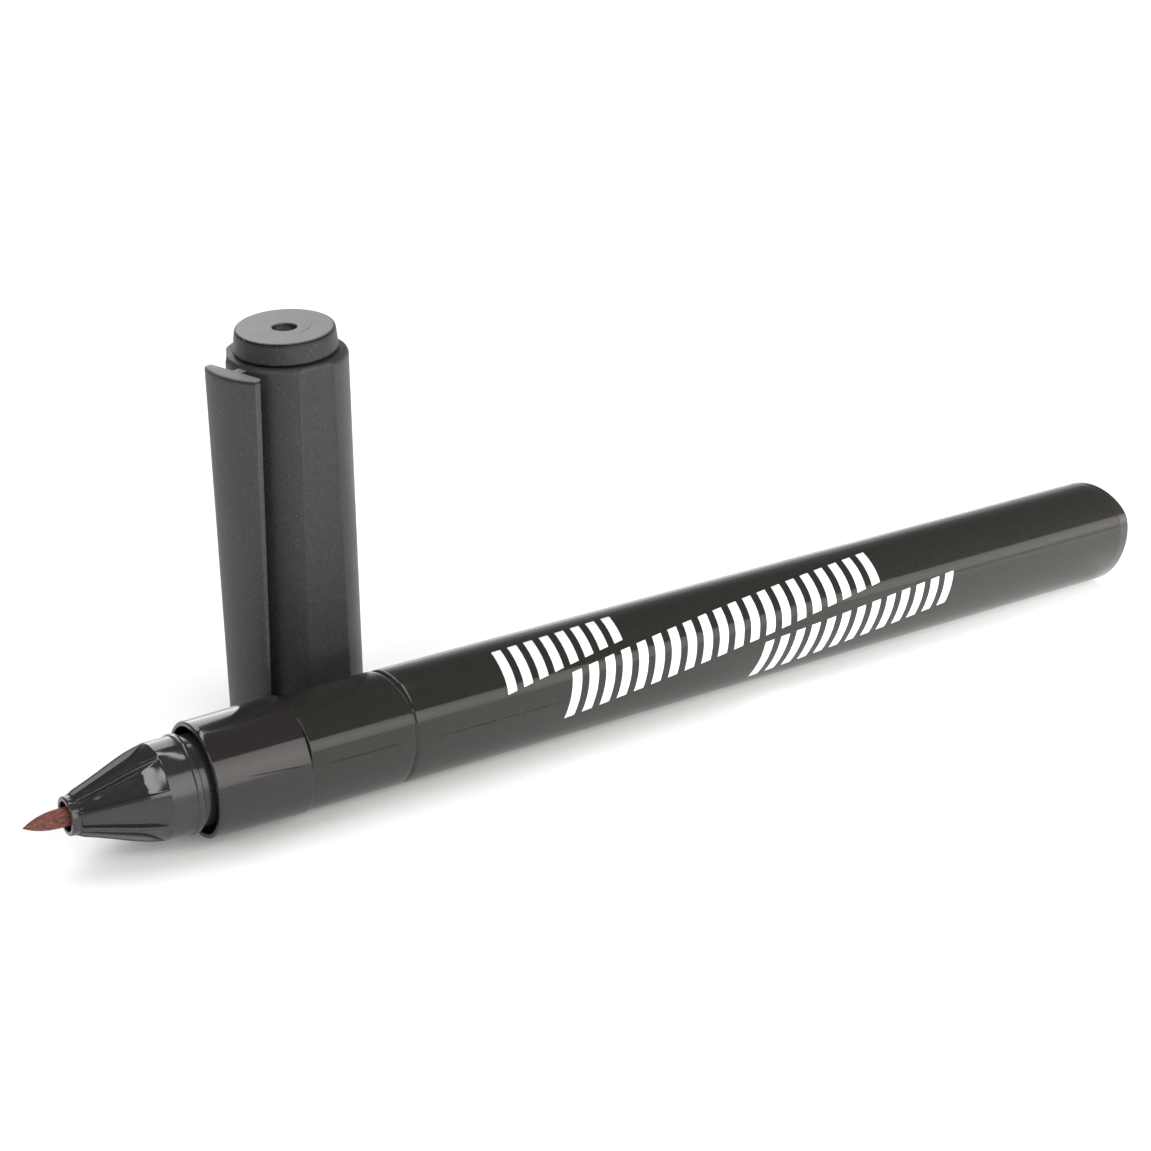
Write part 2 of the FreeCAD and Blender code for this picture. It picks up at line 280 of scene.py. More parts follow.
def painted_shade_edge():
    """Dark band along a rounded edge, a painted dark reflection, with small painted glints."""
    r = Recipe("painted_shade_edge", 0.30, specular=0.10)
    mottle = r.noise(r.place(), 0.3, detail=4)
    painted_glint = r.specks(r.place(), 0.5, 0.06, 0.2)
    dark = r.mix(mottle, (0.003, 0.003, 0.003), (0.012, 0.012, 0.012))
    r.colour(r.mix(painted_glint, dark, PAINTED_GLINT_TONE))
    r.rough(r.span(mottle, 0.35, 0.65, 0.24, 0.42))
    r.bump(mottle, 0.02)
    return r.material


def dark_line_paint():
    """Matt black on the raised parting lines, a painted dark reflection line, broken up along its
    length.
    """
    r = Recipe("dark_line_paint", 0.7, specular=0.1)
    broken = r.noise(r.place((1.0, 0.3, 0.3)), 0.35, detail=3)
    r.colour(r.mix(broken, (0.004, 0.004, 0.004), (0.03, 0.03, 0.028)))
    r.rough(r.span(broken, 0.4, 0.6, 0.75, 0.35))
    return r.material


def satin_grey(name, tone, painted_lit_top_tone=None, top_z=0.0):
    """Spark-eroded moulding: dark satin grey with a fine grain and scattered lighter grains. A top
    face at height top_z can be painted paler with the top tone as a painted highlight, with a line of
    painted shade below its edge."""
    r = Recipe(name, 0.42, specular=0.35)
    grain = r.noise(r.place(), 0.16, detail=3, rough=0.6)
    cloud = r.noise(r.place((1, 1, 0.4)), 4.0, detail=3)
    speckle = r.span(grain, 0.3, 0.7, 0, 1)
    tinted = r.vary(speckle, tone, 0.38)
    if painted_lit_top_tone:
        # Painted light: the paler top face is a painted highlight, and the dark band just under its
        # edge is painted shade.
        height = r.nodes.new("ShaderNodeSeparateXYZ")
        r.links.new(r.place(), height.inputs["Vector"])
        painted_shade_line = r.span(height.outputs["Z"], top_z - 0.44, top_z - 0.28, 0, 1)
        painted_lit_top = r.span(height.outputs["Z"], top_z - 0.16, top_z - 0.04, 0, 1)
        side = r.mix(painted_shade_line, tinted, PAINTED_SHADE_TONE)
        tinted = r.mix(painted_lit_top, side, r.vary(speckle, painted_lit_top_tone, 0.15))
    lighter = r.specks(r.place(), 0.42, 0.07, 0.35)
    r.colour(r.mix(r.math("MULTIPLY", lighter, 0.35), tinted, GRAIN_TONE))
    r.rough(r.math("ADD", r.span(cloud, 0.3, 0.7, 0.34, 0.44), r.math("MULTIPLY", grain, 0.08)))
    r.bump(grain, 0.035)
    return r.material


def nib_fibre():
    """Bonded fibres soaked with ink: red brown, streaked along the nib, with dark flecks."""
    r = Recipe("nib_fibre", 0.62, specular=0.3)
    streak = r.noise(r.place((0.22, 1, 1)), 0.13, detail=5, rough=0.65)
    flake = r.noise(r.place((0.5, 1, 1)), 0.3, detail=4, rough=0.7)
    base = r.mix(r.span(streak, 0.35, 0.65, 0, 1), (0.045, 0.012, 0.009), (0.22, 0.078, 0.060))
    r.colour(r.mix(r.span(flake, 0.56, 0.66, 0, 0.8), base, (0.028, 0.008, 0.007)))
    r.rough(r.span(flake, 0.35, 0.7, 0.75, 0.45))
    r.bump(streak, 0.05)
    return r.material


def print_white():
    """Screen-printed white ink, slightly uneven in cover."""
    r = Recipe("print_white", 0.34)
    cover = r.noise(r.place(), 0.35, detail=4)
    r.colour(r.mix(r.span(cover, 0.4, 0.75, 0, 1), (0.72, 0.72, 0.72), (0.52, 0.52, 0.53)))
    r.rough(r.span(cover, 0.3, 0.7, 0.28, 0.42))
    r.bump(cover, 0.003)
    return r.material


def fibre_core(name, dark, light, stretch, size):
    """Felted or filmy inner material, streaked along one axis."""
    r = Recipe(name, 0.8, specular=0.2)
    streak = r.noise(r.place(stretch), size, detail=5)
    r.colour(r.mix(streak, dark, light))
    r.rough(r.span(streak, 0.3, 0.7, 0.6, 0.9))
    r.bump(streak, 0.04)
    return r.material


# ---- pen -----------------------------------------------------------------------------------------
NIB_R = 0.88
NIB_TAPER_X = -12.3          # where the rod starts to close towards the tip
NOSE_R = 1.78
NOSE_HOLE_R = 1.36
NOSE_HOLE_DEPTH = 1.3
NIB_BORE_R = 0.93
CREASE_X = -5.5              # where each valley turns up towards the collar
VALLEY_R0 = 1.60             # radius of a valley's floor at the nose, and at the crease
VALLEY_R1 = 3.50
VALLEY_HOLLOW = 0.06         # part of its radius that a floor sinks by between two ribs
COLLAR_X = -3.85
COLLAR_R = 4.42
SNAP_X = -1.55               # front edge of the snap ring
SNAP_R = 4.58
SNAP_W = 0.65
NECK_R = 4.25
HOLDER_SPIGOT_R = 3.95
RIB_COUNT = 8
RIB_PHASE = math.radians(21.0 - 90.0)
# Half of a rib's section: distance from its middle, and share of its height there.
RIB_HALF = ((0.10, 1.0), (0.155, 0.99), (0.19, 0.955), (0.212, 0.88), (0.224, 0.76),
            (0.232, 0.50), (0.242, 0.22), (0.262, 0.07), (0.30, 0.015), (0.36, 0.0))
RIB_SPREAD_R = 1.3           # inside this radius, a rib's points keep the angles they have at it

# Droplets with a set place on the snap ring: place along the pen, degrees round it, and radius.
DROPLETS = ((-1.2, 141, 0.06), (-1.25, 148, 0.05), (-1.0, 158, 0.08), (-1.35, 163, 0.05),
            (-1.15, 175, 0.13), (-1.3, 186, 0.05), (-1.05, 196, 0.07), (-1.2, 207, 0.10))
# Section of a droplet from its foot up: height over half its radius, and width over its full width.
DROPLET_DOME = ((-0.02, 1.0), (0.35, 0.92), (0.62, 0.7), (0.78, 0.4))

SLEEVE_LEN = BARREL_X0
SLEEVE_R_FRONT = 5.35
SLEEVE_R_REAR = 5.50
SLEEVE_LIP_R = 4.93
SLEEVE_LIP_DEPTH = 2.3
SLEEVE_BORE_R = 3.97
SLEEVE_SPIGOT_R = 4.28
SLEEVE_SPIGOT_BORE_R = 3.30

BARREL_R = 5.378             # mean radius of the rounded triangle at its front end
BARREL_LOBE = 0.425          # how far its corners stand out of, and its flats lie in from, it
BARREL_TAPER = 0.978         # size of the rear end over the front end
BARREL_ROLL = math.radians(27.3)
BARREL_BORE_R = 4.33
BARREL_STEPS = 240
RING_X = 19.6
# Groove round the barrel: place along the pen from RING_X, and depth.
RING_GROOVE = ((-0.30, 0.006), (-0.24, 0.03), (-0.20, 0.12), (-0.14, 0.165), (-0.06, 0.165),
               (-0.01, 0.140), (0.06, 0.100), (0.15, 0.062), (0.26, 0.030), (0.38, 0.010),
               (0.52, 0.0))
PLUG_ROUND = 0.45
# Dished face of the end lid: depth below its rim, and inset from the outline. The gate mark in its
# middle follows, as depth and radius.
LID_DISH = ((0.0, 1.1), (0.02, 1.25), (0.10, 1.5), (0.14, 1.75))
LID_GATE = ((0.15, 2.0), (0.15, 0.75), (0.16, 0.62), (0.22, 0.55), (0.23, 0.35), (0.15, 0.22),
            (0.12, 0.10))

# Print rows: start and end along the pen; degrees round it of the upper edge at the start and at
# the end, then of the lower edge; number of bars.
PRINT_ROWS = ((29.6, 43.0, 97, 88, 152, 130, 8), (35.8, 72.6, 148, 98, 199, 144, 20),
              (57.6, 80.8, 173, 153, 226, 189, 13))
PRINT_LEAN = 0.8             # how much further along the top of a bar lies than its foot
PRINT_INK_SHARE = 0.56       # width of a bar over the pitch of the row
PRINT_FILM = 0.012

LINE_HALF_ANGLE = 0.015      # half the width of a parting line, in radians about the pen's axis
LINE_LIFT = 0.016
LINE_SUNK = 0.01             # how far its edges lie under the surface
LINE_END_X = 36.0            # where the lines on the barrel have faded out


def nib_piece(material):
    """Fibre rod with a bullet point and fine ridges along it."""
    chance = random.Random(4)
    taper = NIB_TAPER_X - NIB_TIP_X
    profile = [(NIB_TIP_X + 0.004, 0.02)]
    for step in onward(0, 1, 30):
        s = step ** 1.5
        profile.append((NIB_TIP_X + taper * s, NIB_R * (1 - (1 - s) ** 2.5)))
    profile += [(NIB_TAPER_X + 0.28 * i, NIB_R) for i in range(1, 12)]
    profile += [(NIB_TAIL_X - 0.6, NIB_R), (NIB_TAIL_X, NIB_R - 0.35)]
    waves = [(chance.choice((9, 14, 21, 30)), chance.uniform(0, 6.3), chance.uniform(0.5, 2.5),
              chance.uniform(0.003, 0.009)) for _ in range(9)]
    rings = []
    for x, r in profile:
        worn = min(1.0, r / NIB_R)
        ring = []
        for a in turns(96):
            dent = sum(amp * (0.5 + 0.5 * math.sin(n * a + phase + drift * x))
                       for n, phase, drift, amp in waves)
            ring.append(on_pen(x, r - worn * dent * 0.8, a))
        rings.append(ring)
    bm = bmesh.new()
    skin(bm, rings, ends=(True, True))
    finish_piece("fibre_nib", bm, material, "pen", ["nib"])


def rib_crest(x):
    """Radius of a rib's crest: straight from the nose, easing into the collar."""
    span = min(1.0, max(0.0, (x - NOSE_X) / (COLLAR_X - NOSE_X)))
    ease = 0.22 * math.sin(math.pi * span ** 2.2)
    return min(COLLAR_R, NOSE_R + (COLLAR_R - NOSE_R) * span ** 1.06 + ease)


def holder_outside():
    """(x, floor radius) down the outside of the ribbed cone, from the nose to the collar."""
    cone_x = NOSE_X + 0.95
    slope = (VALLEY_R1 - VALLEY_R0) / (CREASE_X - cone_x)
    rise = (COLLAR_R - VALLEY_R1) / (COLLAR_X - CREASE_X)
    line = rounding(NOSE_X + 0.13, NOSE_R - 0.13, 0.13, 180, 90)
    line += [(NOSE_X + 0.40, NOSE_R), (NOSE_X + 0.72, NOSE_R), (NOSE_X + 0.80, NOSE_R - 0.03),
             (NOSE_X + 0.88, NOSE_R - 0.10), (cone_x, VALLEY_R0 + 0.02)]
    line += [(x, VALLEY_R0 + slope * (x - cone_x)) for x in onward(cone_x, CREASE_X - 0.15, 23)]
    line += [(CREASE_X - 0.05, VALLEY_R1 - 0.01), (CREASE_X + 0.05, VALLEY_R1 + 0.03)]
    line += [(x, VALLEY_R1 + rise * (x - CREASE_X))
             for x in onward(CREASE_X + 0.05, COLLAR_X - 0.05, 7)]
    return line + [(COLLAR_X + 0.02, COLLAR_R - 0.008), (COLLAR_X + 0.12, COLLAR_R)]


def holder_piece(material):
    """Ribbed cone, nose ring and collar in one skin. Every period of the ribs gets the same points:
    across the rib by distance from its middle, then across the valley by share of its width."""
    period = 2 * math.pi / RIB_COUNT
    columns = [(-offset, share) for offset, share in reversed(RIB_HALF)]
    columns += [(0.0, 1.0), *RIB_HALF]
    valley = onward(0, 1, 8)[:-1]

    def ring(x, floor, crest):
        """One ring at x; crest equal to floor gives a plain circle."""
        fade_in = blend_step(x, NOSE_X + 1.2, NOSE_X + 3.0)
        deep = VALLEY_HOLLOW * fade_in * (1 - blend_step(x, CREASE_X, COLLAR_X))
        points = []
        for k in range(RIB_COUNT):
            middle_angle = RIB_PHASE + k * period
            for offset, share in columns:
                radius = floor + max(0.0, crest - floor) * share
                turn = math.asin(offset / max(radius, RIB_SPREAD_R))
                points.append(on_pen(x, radius, middle_angle + turn))
            edge = math.asin(columns[-1][0] / max(floor, RIB_SPREAD_R))
            for share in valley:
                angle = middle_angle + edge + share * (period - 2 * edge)
                hollow = math.sin(math.pi * share)
                points.append(on_pen(x, floor * (1 - deep * hollow), angle))
        return points

    hole_x = NOSE_X + NOSE_HOLE_DEPTH
    bore = [(HOLDER_END_X, NIB_BORE_R), (hole_x + 0.02, NIB_BORE_R), (hole_x, NIB_BORE_R + 0.03),
            (hole_x, NOSE_HOLE_R - 0.05), (hole_x - 0.06, NOSE_HOLE_R)]
    bore += rounding(NOSE_X + 0.08, NOSE_HOLE_R + 0.08, 0.08, -90, -180, 4)
    rings = [ring(x, r, r) for x, r in bore]
    for x, floor in holder_outside():
        start = blend_step(x, NOSE_X + 0.35, NOSE_X + 1.1)
        crest = floor + (rib_crest(x) - floor) * start
        rings.append(ring(x, floor, max(floor, crest)))
    snap_end_x = SNAP_X + SNAP_W
    back = [(SNAP_X - 0.05, COLLAR_R), (SNAP_X, COLLAR_R + 0.02), (SNAP_X + 0.08, SNAP_R - 0.02),
            (SNAP_X + 0.14, SNAP_R), (snap_end_x - 0.20, SNAP_R),
            (snap_end_x - 0.12, SNAP_R - 0.02), (snap_end_x, NECK_R + 0.04),
            (snap_end_x + 0.05, NECK_R), (SLEEVE_LIP_DEPTH - 0.02, NECK_R),
            (SLEEVE_LIP_DEPTH - 0.02, HOLDER_SPIGOT_R), (HOLDER_END_X, HOLDER_SPIGOT_R)]
    rings += [ring(x, r, r) for x, r in back]
    bm = bmesh.new()
    skin(bm, rings, loop=True)
    finish_piece("ribbed_holder", bm, material, "pen", ["nib_holder"])


def droplets_piece(material):
    """Tiny dried droplets on the snap ring, as shallow domes, some at set places and some not."""
    chance = random.Random(11)
    spots = list(DROPLETS)
    spots += [(chance.uniform(-1.4, -1.0), chance.uniform(0, 360), chance.uniform(0.04, 0.09))
              for _ in range(9)]
    bm = bmesh.new()
    for x, degrees, size in spots:
        angle = math.radians(degrees)
        rings = []
        for lift, spread in DROPLET_DOME:
            height = SNAP_R - 0.005 + 0.5 * size * lift
            rings.append([on_pen(x + size * spread * math.cos(turn), height,
                                 angle + size * spread * math.sin(turn) / SNAP_R)
                          for turn in turns(12)])
        skin(bm, rings, ends=(True, True))
    finish_piece("snap_ring_droplets", bm, material, "pen")


def sleeve_radius(x):
    return SLEEVE_R_FRONT + (SLEEVE_R_REAR - SLEEVE_R_FRONT) * x / SLEEVE_LEN


def sleeve_surface(x, polar, lift):
    """Point of the sleeve's surface at an angle about the axis, lifted off it by lift."""
    return on_pen(x, sleeve_radius(x) + lift, polar)


def sleeve_piece(material):
    """Round glossy sleeve with a thin rolled lip and a spigot that enters the barrel."""
    outer = rounding(0.16, SLEEVE_R_FRONT - 0.16, 0.16, 180, 92, 6)
    outer += [(x, sleeve_radius(x)) for x in onward(0.2, SLEEVE_LEN - 0.12, 23)]
    outer += rounding(SLEEVE_LEN - 0.10, SLEEVE_R_REAR - 0.10, 0.10, 75, 0, 4)
    inner = [(SLEEVE_LEN, SLEEVE_SPIGOT_R), (SLEEVE_SPIGOT_END_X, SLEEVE_SPIGOT_R),
             (SLEEVE_SPIGOT_END_X, SLEEVE_SPIGOT_BORE_R),
             (HOLDER_END_X + 0.1, SLEEVE_SPIGOT_BORE_R),
             (HOLDER_END_X + 0.1, SLEEVE_BORE_R), (SLEEVE_LIP_DEPTH, SLEEVE_BORE_R),
             (SLEEVE_LIP_DEPTH, SLEEVE_LIP_R - 0.1), (SLEEVE_LIP_DEPTH - 0.1, SLEEVE_LIP_R)]
    inner += rounding(0.07, SLEEVE_LIP_R + 0.07, 0.07, -90, -175, 4)
    bm = bmesh.new()
    skin(bm, turned_rings(outer + inner, on_pen, 216), loop=True)
    finish_piece("gloss_sleeve", bm, material, "pen", ["front_sleeve"])


def barrel_size(x):
    """Size of the barrel's outline at x over its size at the front end."""
    share = (x - BARREL_X0) / (PEN_END_X - BARREL_X0)
    return 1.0 + (BARREL_TAPER - 1.0) * share


def barrel_point(x, facing, inset):
    """Point of the rounded triangle at x where the surface faces the given direction."""
    size = barrel_size(x)
    t = 3 * (facing - BARREL_ROLL)
    h = size * (BARREL_R + BARREL_LOBE * math.cos(t)) - inset
    dh = -3 * size * BARREL_LOBE * math.sin(t)
    y = h * math.cos(facing) - dh * math.sin(facing)
    z = h * math.sin(facing) + dh * math.cos(facing)
    return PEN_ORIGIN + MM * Vector((x, y, z))


def barrel_surface(x, polar, lift):
    """Point of the barrel's surface at an angle about the axis, lifted off it by lift."""
    facing = polar
    for _ in range(12):
        point = barrel_point(x, facing, -lift) - PEN_ORIGIN
        error = polar - math.atan2(point.z, point.y)
        facing += math.atan2(math.sin(error), math.cos(error)) * 0.8
    return barrel_point(x, facing, -lift)


def barrel_rings(outline):
    """Rings of the barrel's outline from (x, inset) points."""
    return [[barrel_point(x, a, inset) for a in turns(BARREL_STEPS)] for x, inset in outline]


def barrel_piece(material):
    """Rounded triangular tube with a softened front edge and a groove with a long rear slope."""
    outline = [(BARREL_X0, 0.05), (BARREL_X0 + 0.02, 0.02), (BARREL_X0 + 0.06, 0.0),
               (BARREL_X0 + 0.16, 0.0)]
    outline += [(x, 0.0) for x in onward(BARREL_X0 + 0.16, RING_X - 0.5, 6)]
    outline += [(RING_X + x, depth) for x, depth in RING_GROOVE]
    outline += [(x, 0.0) for x in onward(outline[-1][0], BARREL_X1 - 0.10, 24)]
    outline += [(BARREL_X1 - 0.02, 0.0), (BARREL_X1, 0.012)]
    bore = [(BARREL_X1, BARREL_BORE_R), (BARREL_X0, BARREL_BORE_R)]
    bm = bmesh.new()
    skin(bm, barrel_rings(outline) + turned_rings(bore, on_pen, BARREL_STEPS), loop=True)
    finish_piece("barrel_tube", bm, material, "pen", ["barrel"])


def tail_piece(material):
    """End lid in the barrel's outline: rounded rim, slightly dished face with a gate mark."""
    outline = [(BARREL_X1 + 0.004, 0.30), (BARREL_X1 + 0.004, 0.012), (BARREL_X1 + 0.02, 0.0)]
    outline += rolled_edge(PEN_END_X, PLUG_ROUND, 8)
    outline += [(PEN_END_X - depth, inset) for depth, inset in LID_DISH]
    gate = [(PEN_END_X - depth, radius) for depth, radius in LID_GATE]
    bm = bmesh.new()
    skin(bm, barrel_rings(outline) + turned_rings(gate, on_pen, BARREL_STEPS), ends=(True, True))
    finish_piece("end_lid", bm, material, "pen", ["tail_plug"])


def print_row(bm, x0, x1, top0, top1, low0, low1, bars):
    """A row of equal slanted bars printed on the barrel. The row starts at x0 between the angles
    top0 and low0 and ends at x1 between top1 and low1, all in degrees about the pen's axis."""
    down, over = 20, 3
    pitch = (x1 - x0) / (bars - 1 + PRINT_INK_SHARE)
    for k in range(bars):
        grid = []
        for j in range(down + 1):
            v = j / down
            row = []
            for i in range(over + 1):
                x = x0 + pitch * (k + PRINT_INK_SHARE * i / over)
                u = (x - x0) / (x1 - x0)
                top = top0 + (top1 - top0) * u
                low = low0 + (low1 - low0) * u
                angle = math.radians(top + (low - top) * v)
                row.append(barrel_surface(x + PRINT_LEAN * (0.5 - v), angle, PRINT_FILM))
            grid.append([bm.verts.new(p) for p in row])
        for upper, lower in zip(grid, grid[1:]):
            for i in range(over):
                bm.faces.new((upper[i], upper[i + 1], lower[i + 1], lower[i]))


def print_piece(material):
    """Three slanted rows of plain bars where the marker carries its print."""
    bm = bmesh.new()
    for row in PRINT_ROWS:
        print_row(bm, *row)
    finish_piece("print_bars", bm, material, "pen")


def line_piece(name, material, surface, x0, x1, angle0, angle1):
    """Hair-fine raised line left by the mould, running along a surface from x0 at angle0 to x1 at
    angle1, in degrees, and fading at both ends. surface places a point: x, angle, lift."""
    bm = bmesh.new()
    rings = []
    count = 48
    for i in range(count + 1):
        share = i / count
        x = x0 + (x1 - x0) * share
        angle = math.radians(angle0 + (angle1 - angle0) * share)
        swell = blend_step(share, 0.0, 0.3) * (1 - blend_step(share, 0.75, 1.0))
        half = LINE_HALF_ANGLE * (0.4 + 0.6 * swell)
        rings.append([surface(x, angle - half, -LINE_SUNK), surface(x, angle, LINE_LIFT * swell),
                      surface(x, angle + half, -LINE_SUNK)])
    skin(bm, rings, ends=(True, True))
    finish_piece(name, bm, material, "pen")


# ---- cap -----------------------------------------------------------------------------------------
CAP_R_MOUTH = 5.87
CAP_R_TOP = 5.74
CAP_EDGE_ROUND = 0.50
CAP_BEAD_R = 4.50            # bead inside the mouth that clicks over the snap ring
CAP_BEAD_Z = 0.7
CAP_SEAT_R = 4.45            # bore that slides over the collar
CAP_SEAT_Z0 = 1.75
CAP_SEAT_Z1 = 3.90
CAP_CAVITY_R = 4.72
CAP_ROOF_Z = 35.2
CAP_STEM_HOLE_R = 2.60
FLAT_ANGLES = [math.radians(a) for a in (-86.0, 34.0, 154.0)]
FLAT_R_MOUTH = 5.41
FLAT_R_TOP = 5.46
FLAT_REACH = math.radians(50)           # a point this near to a flat's middle can lie on it
# Degrees from a flat's middle between which its long edges lie, and the step between points there.
FLAT_EDGE_DEGREES = (13.0, 23.5, 0.5)
TONGUE_LOW_Z = 17.6          # lowest point of the tongue-shaped relief in the upper part of a flat
TONGUE_RISE = 9.0            # how much higher its edge lies at half its width
TONGUE_HALF_W = 2.1
TONGUE_SHIFT = 0.35          # how far its middle lies off the flat's
TONGUE_DEPTH = 0.035

DISC_Z0 = 37.75
DISC_LONG_R = 5.02           # half the length and half the width of the oval on top
DISC_WIDE_R = 4.58
DISC_FLARE = 0.22            # how much larger it is at its lower edge, all round
DISC_TOP_ROUND = 0.22
EDGE_PROUD = 0.006           # how far the band of painted shade stands out at its lower edge
EDGE_DROP = 0.001            # how far it is lowered, to leave the disc's flat top clear
DISC_STEPS = 144
DISC_ANGLE = math.radians(48.0)
DISC_SHIFT = 0.10
DISC_NECK_R = 4.30
STEM_R = 2.57
STEM_Z0 = 34.6
VENT_R = 0.55
VENT_FUNNEL_R = 1.17
VENT_FUNNEL_LOW_R = 0.90
VENT_FUNNEL_DEPTH = 0.9

CLIP_ANGLE = math.radians(200.0)
CLIP_INNER_END = 6.82
CLIP_INNER_TOP = 6.50
CLIP_EDGE_OUT = 7.30
CLIP_CROWN_OUT = 8.05
CLIP_W_TOP = 6.36
CLIP_W_END = 5.20
CLIP_CORNER = 0.12
CLIP_TOP_ROUND = 0.20
# Rounded free end of the clip: height above its end, and how far it draws in.
CLIP_END_ROUND = ((0.0, 0.16), (0.04, 0.08), (0.13, 0.03), (0.3, 0.0))
WEB_T = 1.30
WEB_Z0 = 29.0
WEB_ROUND = 0.16
PAD_R = 0.50                 # bead on the inner side of the clip, near its free end
PAD_Z = 4.6
PAD_LEN = 0.55 * CLIP_W_END


def cap_outside(z, angle, inset):
    """Radius of the cap's outside: a slight cone with three flats, drawn in by inset."""
    share = z / CAP_SHOULDER_Z
    round_r = CAP_R_MOUTH + (CAP_R_TOP - CAP_R_MOUTH) * share - inset
    flat_r = FLAT_R_MOUTH + (FLAT_R_TOP - FLAT_R_MOUTH) * share - inset * 0.6
    for flat in FLAT_ANGLES:
        off = math.atan2(math.sin(angle - flat), math.cos(angle - flat))
        if abs(off) < FLAT_REACH:
            reach = flat_r / math.cos(off)
            if reach < round_r:
                side = flat_r * math.tan(off)
                aside = abs((side + TONGUE_SHIFT) / TONGUE_HALF_W)
                tongue = TONGUE_LOW_Z + TONGUE_RISE * aside ** 2.2
                depth = TONGUE_DEPTH * blend_step(z, tongue - 0.12, tongue + 0.12)
                return reach - depth * blend_step(round_r - reach, 0.0, 0.06)
    return round_r


def cap_angles():
    """Angles round the cap: even steps, with extra ones where the flats meet the round parts."""
    angles = [math.radians(2.0 * i) for i in range(180)]
    first, last, step = FLAT_EDGE_DEGREES
    for flat in FLAT_ANGLES:
        for i in range(round((last - first) / step) + 1):
            for side in (-1, 1):
                angles.append((flat + side * math.radians(first + step * i)) % (2 * math.pi))
    angles = sorted(angles)
    return [a for i, a in enumerate(angles) if i == 0 or a - angles[i - 1] > math.radians(0.12)]


def cap_piece(material):
    """Cap shell: flats and tongue reliefs outside, rounded shoulder, snap bead and seat inside."""
    angles = cap_angles()
    outer = [(0.0, 0.12), (0.03, 0.05), (0.09, 0.0)]
    outer += [(z, 0.0) for z in (0.6, 2, 4, 6, 8, 10, 12, 14, 16)]
    outer += [(17.0 + 0.24 * i, 0.0) for i in range(60)]     # close rows for the tongues' edges
    outer += [(z, 0.0) for z in (32, 33, 34, 35, 36, 36.6)]
    outer += rolled_edge(CAP_SHOULDER_Z, CAP_EDGE_ROUND, 7)
    rings = [[on_cap(z, cap_outside(z, a, inset), a) for a in angles] for z, inset in outer]
    inner = [(CAP_SHOULDER_Z, 4.6), (CAP_SHOULDER_Z - 0.02, CAP_STEM_HOLE_R),
             (CAP_ROOF_Z, CAP_STEM_HOLE_R), (CAP_ROOF_Z, CAP_CAVITY_R - 0.3),
             (CAP_ROOF_Z - 0.3, CAP_CAVITY_R), (CAP_SEAT_Z1 + 0.2, CAP_CAVITY_R),
             (CAP_SEAT_Z1, CAP_SEAT_R), (CAP_SEAT_Z0, CAP_SEAT_R),
             (CAP_SEAT_Z0 - 0.15, CAP_CAVITY_R), (CAP_BEAD_Z + 0.15, CAP_CAVITY_R),
             (CAP_BEAD_Z, CAP_BEAD_R), (0.25, CAP_BEAD_R), (0.06, CAP_BEAD_R + 0.10),
             (0.0, CAP_BEAD_R + 0.20)]
    rings += [[on_cap(z, r, a) for a in angles] for z, r in inner]
    bm = bmesh.new()
    skin(bm, rings, loop=True)
    finish_piece("cap_body", bm, material, "cap", ["cap_shell"])


def disc_ring(z, wider):
    """Ring of the disc's slightly oval outline, wider all round by the given amount."""
    along, across = DISC_LONG_R + wider, DISC_WIDE_R + wider
    return [off_cap(z, DISC_SHIFT + along * math.cos(turn), across * math.sin(turn), DISC_ANGLE)
            for turn in turns(DISC_STEPS)]


def disc_piece(material):
    """Flared disc on its stem, with a soft edge and a dished hole that runs into the vent."""
    neck_z, funnel_z = CAP_SHOULDER_Z + 0.01, DISC_TOP_Z - VENT_FUNNEL_DEPTH
    stem = [(STEM_Z0, STEM_R), (neck_z, STEM_R), (neck_z, DISC_NECK_R), (DISC_Z0, DISC_NECK_R)]
    side = rounding(DISC_Z0 + 0.10, DISC_FLARE - 0.10, 0.10, 180, 95)
    side += [(DISC_Z0 + 0.22, DISC_FLARE - 0.025), (DISC_TOP_Z - 0.30, 0.03)]
    side += rounding(DISC_TOP_Z - DISC_TOP_ROUND, -DISC_TOP_ROUND, DISC_TOP_ROUND, 85, 0, 6)
    side += [(DISC_TOP_Z, -0.30), (DISC_TOP_Z, -0.6), (DISC_TOP_Z, -1.4)]
    hole = [(DISC_TOP_Z, 2.2), (DISC_TOP_Z, VENT_FUNNEL_R + 0.14)]
    hole += rounding(DISC_TOP_Z - 0.11, VENT_FUNNEL_R + 0.11, 0.11, 0, -80, 4)
    hole += [(DISC_TOP_Z - 0.25, VENT_FUNNEL_R - 0.03), (funnel_z + 0.08, VENT_FUNNEL_LOW_R + 0.02),
             (funnel_z, VENT_FUNNEL_LOW_R - 0.06), (funnel_z, VENT_R + 0.04),
             (funnel_z - 0.04, VENT_R), (STEM_Z0, VENT_R)]
    rings = turned_rings(stem, on_cap, DISC_STEPS)
    rings += [disc_ring(z, wider) for z, wider in side]
    rings += turned_rings(hole, on_cap, DISC_STEPS)
    bm = bmesh.new()
    skin(bm, rings, loop=True)
    finish_piece("cap_disc", bm, material, "cap", ["cap_top_plug"])


def disc_edge_piece(material):
    """Band of painted shade and painted glints that follows the rounded top edge of the disc."""
    rings = []
    for degrees in (2, 14, 30, 50, 68, 80):
        a = math.radians(degrees)
        rings.append(disc_ring(DISC_TOP_Z - DISC_TOP_ROUND * (1 - math.cos(a)) - EDGE_DROP,
                               -DISC_TOP_ROUND * (1 - math.sin(a)) + EDGE_PROUD * math.sin(a)))
    bm = bmesh.new()
    skin(bm, rings)
    finish_piece("disc_edge", bm, material, "cap")


